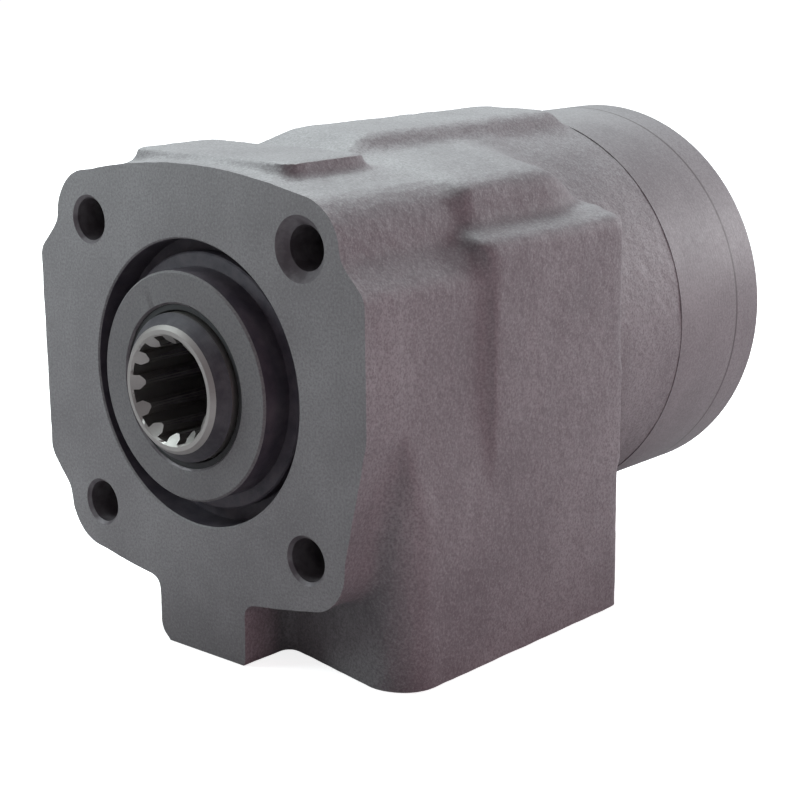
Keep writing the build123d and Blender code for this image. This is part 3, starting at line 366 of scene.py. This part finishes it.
def black_oxide():
    """Oiled black oxide on the socket screws, rubbed on their rims."""
    finish = Finish("black_screw")
    rub = finish.noise(0.9, 4.0, 0.6)
    edge = finish.edges().clear(0.53, 0.62)
    base = finish.mix(rub.clear(0.45, 0.7) * 0.4, (0.02, 0.02, 0.022), (0.05, 0.05, 0.052))
    base = finish.mix(edge * rub * 0.7, base, (0.20, 0.19, 0.18))
    return finish.shader(base, 0.38 + rub * 0.15, height=rub, depth=0.02, metallic=0.6)


def zinc():
    """Zinc plating on the plugs, slightly yellow in patches."""
    finish = Finish("zinc_plug")
    cloud = finish.noise(0.25, 3.0, 0.5)
    base = finish.mix(cloud.clear(0.4, 0.7), (0.42, 0.42, 0.41), (0.46, 0.42, 0.32))
    return finish.shader(base, 0.30 + cloud * 0.2, height=cloud, depth=0.01, metallic=0.9)


def copper():
    """Soft copper washers, tarnished."""
    finish = Finish("washer_copper")
    cloud = finish.noise(0.5, 4.0, 0.6)
    base = finish.mix(cloud.clear(0.4, 0.7), (0.42, 0.20, 0.12), (0.22, 0.11, 0.07))
    return finish.shader(base, 0.35 + cloud * 0.2, height=cloud, depth=0.01, metallic=0.9)


def bored_iron_and_shade():
    """Bored and drilled cast iron, dark with oil; inside the spool it is painted shade deep in the
    bore.
    """
    finish = Finish("bored_iron_and_shade")
    oil = finish.noise(0.3, 4.0, 0.6)
    lines = finish.hoops(2.0)
    base = finish.mix(oil.clear(0.4, 0.7), (0.10, 0.085, 0.095), (0.19, 0.175, 0.185))
    return finish.shader(
        base, 0.42 + oil * 0.2, height=lines * 0.5 + oil * 0.2, depth=0.03, metallic=0.4
    )


def groove_painted_shade():
    """Paint darkened nearly to black in the column seal groove: painted shade in the recess,
    mottled.
    """
    finish = Finish("groove_painted_shade")
    film = finish.noise(0.25, 4.0, 0.6)
    speckle = finish.noise(*SPECKLE)
    base = finish.mix(film.clear(0.35, 0.7), (0.040, 0.033, 0.046), (0.085, 0.072, 0.086))
    return finish.shader(base, 0.5 + film * 0.2, height=speckle + film, depth=0.06)


def dark_nose():
    """Cone round the spool's end, dull and nearly black."""
    finish = Finish("dark_nose")
    film = finish.noise(0.35, 4.0, 0.6)
    lines = finish.hoops(3.0)
    base = finish.mix(film.clear(0.4, 0.75), (0.040, 0.036, 0.045), (0.085, 0.080, 0.088))
    return finish.shader(base, 0.5 + film * 0.15, height=lines, depth=0.03, metallic=0.3)


finishes = {
    "bored_iron_and_shade": bored_iron_and_shade(),
    "groove_painted_shade": groove_painted_shade(),
    "dark_nose": dark_nose(),
    "hub_paint": machined_paint("hub_paint", shade=0.72),
    "cast_paint": cast_paint(),
    "machined_paint": machined_paint(),
    "turned_paint": turned_paint(),
    "bare_steel": steel("bare_steel", (0.36, 0.34, 0.33), 0.34),
    "hard_steel": steel("hard_steel", (0.48, 0.48, 0.49), 0.18, line_share=0.15),
    "spring_steel": steel("spring_steel", (0.14, 0.16, 0.21), 0.32),
    "seal_rubber": rubber(),
    "seal_ptfe": seal_plastic(),
    "black_screw": black_oxide(),
    "zinc_plug": zinc(),
    "washer_copper": copper(),
}

slot_of = {entry["node"]: entry["material_slot"] for entry in frame["record"]["subparts"]}
TURNED = ("distributor_plate", "gear_rim", "end_cover")
for name, node in nodes.items():
    kind = "turned_paint" if name in TURNED else slot_of[name]
    node.data.materials.clear()
    node.data.materials.append(finishes[kind])


# ---- modelling helpers ------------------------------------------------------------------
def only(piece):
    """Select one object and make it active."""
    for other in bpy.context.view_layer.objects:
        other.select_set(False)
    piece.select_set(True)
    bpy.context.view_layer.objects.active = piece


def settle(piece):
    """Put a piece's place into its mesh."""
    only(piece)
    bpy.ops.object.transform_apply(location=True, rotation=True, scale=True)
    return piece


def modify(piece, kind, **settings):
    """Add a modifier and apply it."""
    only(piece)
    modifier = piece.modifiers.new(kind.lower(), kind)
    for key, value in settings.items():
        setattr(modifier, key, value)
    bpy.ops.object.modifier_apply(modifier=modifier.name)


def join(pieces):
    """Join several pieces into the first one."""
    only(pieces[0])
    for piece in pieces[1:]:
        piece.select_set(True)
    bpy.ops.object.join()
    return pieces[0]


def copy_of(node, name):
    """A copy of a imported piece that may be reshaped."""
    source = nodes[node]
    piece = bpy.data.objects.new(name, source.data.copy())
    bpy.context.scene.collection.objects.link(piece)
    piece.matrix_world = source.matrix_world.copy()
    return settle(piece)


def turned(name, profile, mouth=(0, 0, 0), axis=(0, 1, 0), steps=48):
    """Solid of revolution from (radius, depth) points in millimetres, ends on the axis.

    mouth is where depth is 0 and depth grows along axis.
    """
    bpy.ops.mesh.primitive_plane_add(size=MM)
    piece = bpy.context.object
    piece.name = name
    bpy.ops.object.mode_set(mode="EDIT")
    mesh = bmesh.from_edit_mesh(piece.data)
    bmesh.ops.delete(mesh, geom=mesh.verts[:], context="VERTS")
    points = [mesh.verts.new((r * MM, 0.0, y * MM)) for r, y in profile]
    for first, second in zip(points, points[1:]):
        mesh.edges.new((first, second))
    bmesh.update_edit_mesh(piece.data)
    bpy.ops.mesh.select_all(action="SELECT")
    bpy.ops.mesh.spin(steps=steps, angle=2 * pi, center=(0, 0, 0), axis=(0, 0, 1))
    bpy.ops.mesh.select_all(action="SELECT")
    bpy.ops.mesh.remove_doubles(threshold=1e-6)
    bpy.ops.mesh.normals_make_consistent(inside=False)
    bpy.ops.object.mode_set(mode="OBJECT")
    piece.rotation_euler = Vector(axis).to_track_quat("Z", "Y").to_euler()
    piece.location = Vector(mouth) * MM
    return settle(piece)


def rod(radius, start, length, axis=(0, 1, 0)):
    """Plain round stock."""
    return turned("rod", [(0, 0), (radius, 0), (radius, length), (0, length)], start, axis)


def box(low_corner, high_corner):
    """Block between two corners in millimetres."""
    low_corner, high_corner = Vector(low_corner) * MM, Vector(high_corner) * MM
    bpy.ops.mesh.primitive_cube_add(size=1, location=(low_corner + high_corner) / 2)
    bpy.context.object.scale = high_corner - low_corner
    return settle(bpy.context.object)


def cut(piece, tools, finish):
    """Take tools that don't touch each other out of a piece; its new faces get this finish."""
    tool = join(tools)
    tool.data.materials.clear()
    tool.data.materials.append(finish)
    modify(
        piece,
        "BOOLEAN",
        object=tool,
        operation="DIFFERENCE",
        solver="EXACT",
        material_mode="TRANSFER",
    )
    bpy.data.objects.remove(tool)


# ---- housing: the rough casting, then the machining -------------------------------------
PORT_FACE_Z = -54.5
HOUSING_LENGTH = 102.2
BARREL_R = 43.6
LEDGE_Z = 30.2
STEP_Y = 33.0               # where the sides step out behind the front part
PLATEAU_FOOT_X = 16.5
SHOULDER_X = 34.0           # where the shoulders' rear ends draw in to
LEDGE_FRONT_Y = 34.0
LEDGE_LEAN = 3.0
UP = (0, 0, 1)

# the casting
STOCK = 4.0                 # what the casting has in front of its machined faces
FILL_MARGIN = 0.4           # what the fillers are larger than the bores they close
CORE_R = 39.4
RIM_R = 42.9
RIM_DEPTH = 2.2
WALL_X = 46.9
WALL_CORNERS = ((40.0, 33.6, -24.0), (WALL_X, 75.8, -2.0))
VOXEL = 0.9 * MM
SKIN_LUMPS = 5.0 * MM
SKIN_DEPTH = 0.36 * MM

# the machining
PAST = 60.0                 # a radius and half width past the whole housing
CUT_AWAY = 9.0
GROOVE_R, GROOVE_DEPTH = 28.1, 6.5
GROOVE_STEP_R, GROOVE_STEP_Y = 25.2, 3.4
GROOVE_EDGE = 0.3
HUB_R, HUB_END_Y, HUB_EDGE = 22.4, -3.0, 0.4
SEAL_R, NECK_R, GLAND_R, BORE_R = 16.0, 14.9, 18.2, 19.0
HOLE_OFFSET = 29.168        # mounting holes from the axis, sideways and up
HOLE_R, HOLE_DEPTH, HOLE_FILL_R = 4.25, 18.0, 6.8
HOLE_MOUTH, WIDE_MOUTH = 4.9, 6.2       # the upper right hole has the wide one
SPOT_FACE_R, SPOT_FACE_DEPTH = 13.5, 0.8
PORT_R, PORT_EDGE = 9.5, 0.4
PORTS = ((-24.0, 32.0, 16.0), (24.0, 32.0, 17.0), (-24.0, 61.5, 18.0), (24.0, 61.5, 19.0))
VALVES = ((22.0, 8.5, 6.5, 31.0), (44.0, 6.6, 4.6, 29.0), (63.5, 6.6, 4.6, 29.0))
VALVE_FILL = 33.0
PLUG_DEPTH = 9.0
CORNERS = [(x, z) for x in (-HOLE_OFFSET, HOLE_OFFSET) for z in (-HOLE_OFFSET, HOLE_OFFSET)]
SEVENTHS = [radians(90 + 360 / 7 * k) for k in range(7)]
REAR_HOLES = [              # circle, angle, radius and depth
    *((35.0, angle, 3.4, 16.0) for angle in SEVENTHS),
    *((23.4, angle + pi / 7, 2.2, 38.0) for angle in SEVENTHS),
    (26.0, SEVENTHS[4], 4.4, 16.0),
    *((26.0, SEVENTHS[k], 3.6, 18.0) for k in (2, 5)),
]


def rise(value, low, high):
    """Smooth step from 0 at low to 1 at high."""
    share = min(max((value - low) / (high - low), 0.0), 1.0)
    return share * share * (3 - 2 * share)


def blend_shoulder(place):
    """Slope the shoulders' rear ends to the barrel and lean the ledge's front end forward."""
    x, y, z = place
    reach = BARREL_R ** 2 - x * x
    ground = max(sqrt(reach) if reach > 0 else 0.0, LEDGE_Z)
    share = rise(y, 60.0, 77.0) * (1 - rise(y, 78.0, 79.0))
    if z > ground and abs(x) > PLATEAU_FOOT_X:
        side = SHOULDER_X if x > 0 else -SHOULDER_X
        z -= (z - ground) * share
        x -= (x - side) * share * 0.6 * rise(abs(x), SHOULDER_X, SHOULDER_X + 2.0)
    if abs(x) > 41.0 and z > 22.0:
        near = 1 - rise(abs(y - LEDGE_FRONT_Y), 4.0, 20.0)
        y -= LEDGE_LEAN * rise(z, 22.0, 31.0) * near * rise(y, 26.0, STEP_Y)
    return Vector((x, y, z))


def fillers():
    """Stock that closes every bore of the solid and thickens its side walls."""
    front = -STOCK
    below = PORT_FACE_Z - STOCK
    yield rod(CORE_R, (0, front, 0), HOUSING_LENGTH + 2 * STOCK)
    yield rod(RIM_R, (0, HOUSING_LENGTH - RIM_DEPTH, 0), RIM_DEPTH + STOCK)
    for x, z in CORNERS:
        yield rod(HOLE_FILL_R, (x, front, z), HOLE_DEPTH + 1 + STOCK)
    for x, y, depth in PORTS:
        yield rod(SPOT_FACE_R + FILL_MARGIN, (x, y, below), depth + 1 + STOCK, UP)
    for y, plug, *_ in VALVES:
        yield rod(plug + FILL_MARGIN, (0, y, below), VALVE_FILL + STOCK, UP)
    (inner, low_y, low_z), (outer, high_y, high_z) = WALL_CORNERS
    yield box((-outer, low_y, low_z), (-inner, high_y, high_z))
    yield box((inner, low_y, low_z), (outer, high_y, high_z))


def softness(place):
    """1 where the corners are softest: the top behind the step and the ledge's front end."""
    x, y, z = place
    crown = rise(z, 30.0, 38.0) * rise(y, 27.0, STEP_Y)
    near = 1 - rise(abs(y - STEP_Y), 5.0, 12.0)
    ledge_end = rise(abs(x), 38.0, 42.0) * rise(z, 17.0, 23.0) * near
    return max(crown, ledge_end)


def casting():
    """The housing as it leaves the foundry: no bores, soft corners and an uneven skin."""
    rough = copy_of("housing", "housing_skin")
    touch = 0.01 * MM
    for vertex in rough.data.vertices:
        if abs(vertex.co.y) < touch:
            vertex.co.y = -STOCK * MM
        elif abs(vertex.co.y - HOUSING_LENGTH * MM) < touch:
            vertex.co.y += STOCK * MM
        if abs(vertex.co.z - PORT_FACE_Z * MM) < touch:
            vertex.co.z -= STOCK * MM
    rough = join([rough, *fillers()])
    modify(rough, "REMESH", mode="VOXEL", voxel_size=VOXEL)
    for vertex in rough.data.vertices:
        vertex.co = blend_shoulder(vertex.co / MM) * MM
    modify(rough, "REMESH", mode="VOXEL", voxel_size=VOXEL)
    soft = rough.vertex_groups.new(name="soft")
    for vertex in rough.data.vertices:
        share = softness(vertex.co / MM)
        if share > 0:
            soft.add([vertex.index], share, "REPLACE")
    modify(rough, "SMOOTH", factor=0.5, iterations=4)
    modify(rough, "SMOOTH", factor=0.5, iterations=30, vertex_group="soft")
    lumps = bpy.data.textures.new("lumps", "CLOUDS")
    lumps.noise_scale = SKIN_LUMPS
    lumps.noise_depth = 3
    modify(
        rough,
        "DISPLACE",
        texture=lumps,
        texture_coords="LOCAL",
        strength=SKIN_DEPTH,
        mid_level=1.0,
    )
    rough.data.materials.clear()
    rough.data.materials.append(finishes["cast_paint"])
    return rough


def machine_housing(piece):
    """Faces, column seal groove, bores and holes, each with its edges just broken."""
    machined = finishes["machined_paint"]
    bored = finishes["bored_iron_and_shade"]
    below = (-PAST, -20, PORT_FACE_Z - CUT_AWAY)
    cut(piece, [box(below, (PAST, 2 * PAST, PORT_FACE_Z))], machined)
    cut(piece, [rod(PAST, (0, HOUSING_LENGTH, 0), CUT_AWAY)], machined)
    facing = [
        (0, -CUT_AWAY), (PAST, -CUT_AWAY), (PAST, 0),
        (GROOVE_R + GROOVE_EDGE, 0), (GROOVE_R, GROOVE_EDGE), (GROOVE_R, GROOVE_DEPTH),
        (GROOVE_STEP_R, GROOVE_DEPTH), (GROOVE_STEP_R, GROOVE_STEP_Y + GROOVE_EDGE),
        (GROOVE_STEP_R - GROOVE_EDGE, GROOVE_STEP_Y), (HUB_R, GROOVE_STEP_Y),
        (HUB_R, HUB_END_Y + HUB_EDGE), (HUB_R - HUB_EDGE, HUB_END_Y), (0, HUB_END_Y),
    ]
    cut(piece, [turned("facing", facing, steps=144)], machined)
    neck = [
        (0, HUB_END_Y - 1), (SEAL_R + HUB_EDGE, HUB_END_Y - 1), (SEAL_R + HUB_EDGE, HUB_END_Y),
        (SEAL_R, HUB_END_Y + HUB_EDGE), (SEAL_R, 2), (NECK_R, 2), (NECK_R, 5), (GLAND_R, 5),
        (GLAND_R, 9.2), (NECK_R, 9.2), (NECK_R, 13), (BORE_R, 13), (BORE_R, 104), (0, 104),
    ]
    tools = [turned("bore", neck, steps=96)]
    for x, z in CORNERS:
        mouth = WIDE_MOUTH if x > 0 and z > 0 else HOLE_MOUTH
        hole = [
            (0, -1), (mouth + 1, -1), (HOLE_R, mouth - HOLE_R), (HOLE_R, HOLE_DEPTH),
            (0, HOLE_DEPTH),
        ]
        tools.append(turned("mounting_hole", hole, (x, 0, z)))
    for x, y, depth in PORTS:
        port = [
            (0, -1), (SPOT_FACE_R, -1), (SPOT_FACE_R, SPOT_FACE_DEPTH),
            (PORT_R + PORT_EDGE, SPOT_FACE_DEPTH), (PORT_R, SPOT_FACE_DEPTH + PORT_EDGE),
            (PORT_R, depth), (0, depth),
        ]
        tools.append(turned("port", port, (x, y, PORT_FACE_Z), UP))
    cut(piece, tools, bored)
    tools = []
    for y, plug, bore, depth in VALVES:
        valve = [
            (0, -1), (plug, -1), (plug, PLUG_DEPTH), (bore, PLUG_DEPTH), (bore, depth), (0, depth),
        ]
        tools.append(turned("valve_bore", valve, (0, y, PORT_FACE_Z), UP))
    cut(piece, tools, bored)
    tools = []
    for circle, angle, radius, depth in REAR_HOLES:
        place = (circle * cos(angle), HOUSING_LENGTH - depth, circle * sin(angle))
        tools.append(rod(radius, place, depth + 1))
    cut(piece, tools, bored)
    return piece


def repaint(piece, kind, wanted):
    """Give another finish to the faces for which wanted(old finish, radius, y) is true."""
    piece.data.materials.append(finishes[kind])
    last = len(piece.data.materials) - 1
    for face in piece.data.polygons:
        x, y, z = face.center / MM
        if wanted(piece.data.materials[face.material_index], hypot(x, z), y):
            face.material_index = last


housing = machine_housing(casting())
milled = finishes["machined_paint"]
repaint(
    housing,
    "hub_paint",
    lambda was, r, y: was == milled and r < HUB_R + 0.2 and y < 0,
)
# painted shade: the groove's faces get the near-black finish
repaint(
    housing,
    "groove_painted_shade",
    lambda was, r, y: was == milled and r < GROOVE_R + 0.1 and 0.2 < y < GROOVE_DEPTH + 0.5,
)
only(housing)
bpy.ops.object.shade_smooth_by_angle(angle=radians(32))
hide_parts("housing")
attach(housing, "housing")


# ---- spool end: tapered spline teeth, dark cone and dark bore ---------------------------
SPLINE_TEETH = 12
SPLINE_END_Y = 15.0
SPLINE_RADII = (8.0, 10.7)
TOOTH_MIDDLE_R = 9.6
TIP_SHARE = 0.42            # width of a tooth's tip and root, as shares of the solid's
ROOT_SHARE = 1.35
NOSE_R, NOSE_END_Y = 12.55, -2.0
DARK_BORE_R, DARK_BORE_Y = 10.4, 6.5


def spline_spool():
    """The spool with its spline teeth narrowed towards their tips."""
    piece = copy_of("spool", "spool_dressed")
    pitch = 2 * pi / SPLINE_TEETH
    for vertex in piece.data.vertices:
        x, y, z = vertex.co / MM
        radius = hypot(x, z)
        if SPLINE_RADII[0] < radius < SPLINE_RADII[1] and y < SPLINE_END_Y + 0.1:
            angle = atan2(z, x)
            centre = round(angle / pitch) * pitch
            share = TIP_SHARE if radius < TOOTH_MIDDLE_R else ROOT_SHARE
            angle = centre + (angle - centre) * share
            vertex.co = Vector((radius * cos(angle), y, radius * sin(angle))) * MM
    return piece


spool = spline_spool()
repaint(spool, "dark_nose", lambda was, r, y: r > NOSE_R and y < NOSE_END_Y)
# painted shade: the bore and teeth deep inside the spool get the dark iron finish
repaint(spool, "bored_iron_and_shade", lambda was, r, y: r < DARK_BORE_R and y > DARK_BORE_Y)
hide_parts("spool")
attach(spool, "spool")


# ---- springs: coils copied out of their spring nodes ------------------------------------
def coil(name, node, span):
    """The part of a spring node whose Y lies in span, as its own piece on the housing."""
    piece = copy_of(node, name)
    only(piece)
    bpy.ops.object.mode_set(mode="EDIT")
    mesh = bmesh.from_edit_mesh(piece.data)
    strays = [v for v in mesh.verts if not span[0] < v.co.y / MM < span[1]]
    bmesh.ops.delete(mesh, geom=strays, context="VERTS")
    bmesh.update_edit_mesh(piece.data)
    bpy.ops.object.mode_set(mode="OBJECT")
    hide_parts(node)
    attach(piece, "housing")
    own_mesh(piece)


coil("relief_coil", "relief_spring", (0, 40))
coil("shock_coil_front", "shock_springs", (0, 54))
coil("shock_coil_rear", "shock_springs", (54, 80))

# the curved leaf springs, copied and carried with the sleeve
leaves = copy_of("curved_springs", "curved_leaves")
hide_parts("curved_springs")
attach(leaves, "sleeve")
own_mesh(leaves)


# ---- floor and light --------------------------------------------------------------------
FLOOR_SIZE = 40.0
FLOOR_Z = PORT_FACE_Z - 0.2
WHITE = (1.0, 1.0, 1.0, 1.0)
FLOOR_SEEN = (0.80, 0.80, 0.80, 1.0)
FLOOR_GLOW = 0.80
FLOOR_BOUNCE = (0.42, 0.40, 0.41, 1.0)
AMBIENT = (1.0, 0.96, 1.0, 1.0)
AMBIENT_STRENGTH = 0.30


def add_floor():
    """Plain floor under the port face: white to the camera, dimmer to light that bounces."""
    bpy.ops.mesh.primitive_plane_add(size=FLOOR_SIZE, location=(0, 0, FLOOR_Z * MM))
    floor = settle(bpy.context.object)
    floor.name = "floor"
    finish = Finish("floor")
    seen = finish.node("ShaderNodeLightPath").outputs["Is Camera Ray"]
    dim = finish.node("ShaderNodeBsdfDiffuse", {}, {"Color": FLOOR_BOUNCE})
    pale = finish.node("ShaderNodeBsdfDiffuse", {}, {"Color": FLOOR_SEEN})
    glow = finish.node("ShaderNodeEmission", {}, {"Color": WHITE, "Strength": FLOOR_GLOW})
    white = finish.node("ShaderNodeAddShader", {}, {0: pale.outputs[0], 1: glow.outputs[0]})
    both = finish.node(
        "ShaderNodeMixShader", {}, {0: seen, 1: dim.outputs[0], 2: white.outputs[0]}
    )
    finish.node("ShaderNodeOutputMaterial", {}, {"Surface": both.outputs[0]})
    floor.data.materials.append(finish.material)


add_floor()


def add_lamp(name, place, size, watts, colour, target=(0.0, 0.055, -0.005)):
    """Soft square lamp that faces the unit."""
    data = bpy.data.lights.new(name, "AREA")
    data.size = size
    data.energy = watts
    data.color = colour
    lamp = bpy.data.objects.new(name, data)
    bpy.context.scene.collection.objects.link(lamp)
    lamp.location = place
    lamp.visible_camera = False
    aim = Vector(target) - Vector(place)
    lamp.rotation_euler = aim.to_track_quat("-Z", "Y").to_euler()


add_lamp("top_lamp", (-0.45, 0.35, 1.00), 0.8, 22.0, (0.90, 1.0, 1.0))
add_lamp("key_lamp", (-0.15, -0.12, 0.10), 0.09, 0.27, (0.86, 1.0, 0.99), (-0.03, 0.0, 0.01))
add_lamp("rim_lamp", (0.17, 0.42, 0.10), 0.15, 0.80, (0.97, 0.98, 1.0))
add_lamp("low_lamp", (0.45, 0.05, 0.02), 0.14, 0.42, (1.0, 0.56, 0.66))


def add_world():
    """Dim, even light all round, with a white background for the camera."""
    world = bpy.data.worlds.new("studio")
    bpy.context.scene.world = world
    world.use_nodes = True
    tree = world.node_tree
    tree.nodes.clear()
    rays, ambient, white, choose, output = (
        tree.nodes.new(f"ShaderNode{kind}")
        for kind in ("LightPath", "Background", "Background", "MixShader", "OutputWorld")
    )
    ambient.inputs["Color"].default_value = AMBIENT
    ambient.inputs["Strength"].default_value = AMBIENT_STRENGTH
    white.inputs["Color"].default_value = WHITE
    white.inputs["Strength"].default_value = 1.0
    tree.links.new(rays.outputs["Is Camera Ray"], choose.inputs[0])
    tree.links.new(ambient.outputs[0], choose.inputs[1])
    tree.links.new(white.outputs[0], choose.inputs[2])
    tree.links.new(choose.outputs[0], output.inputs[0])


add_world()

bpy.context.scene.view_settings.view_transform = "Standard"
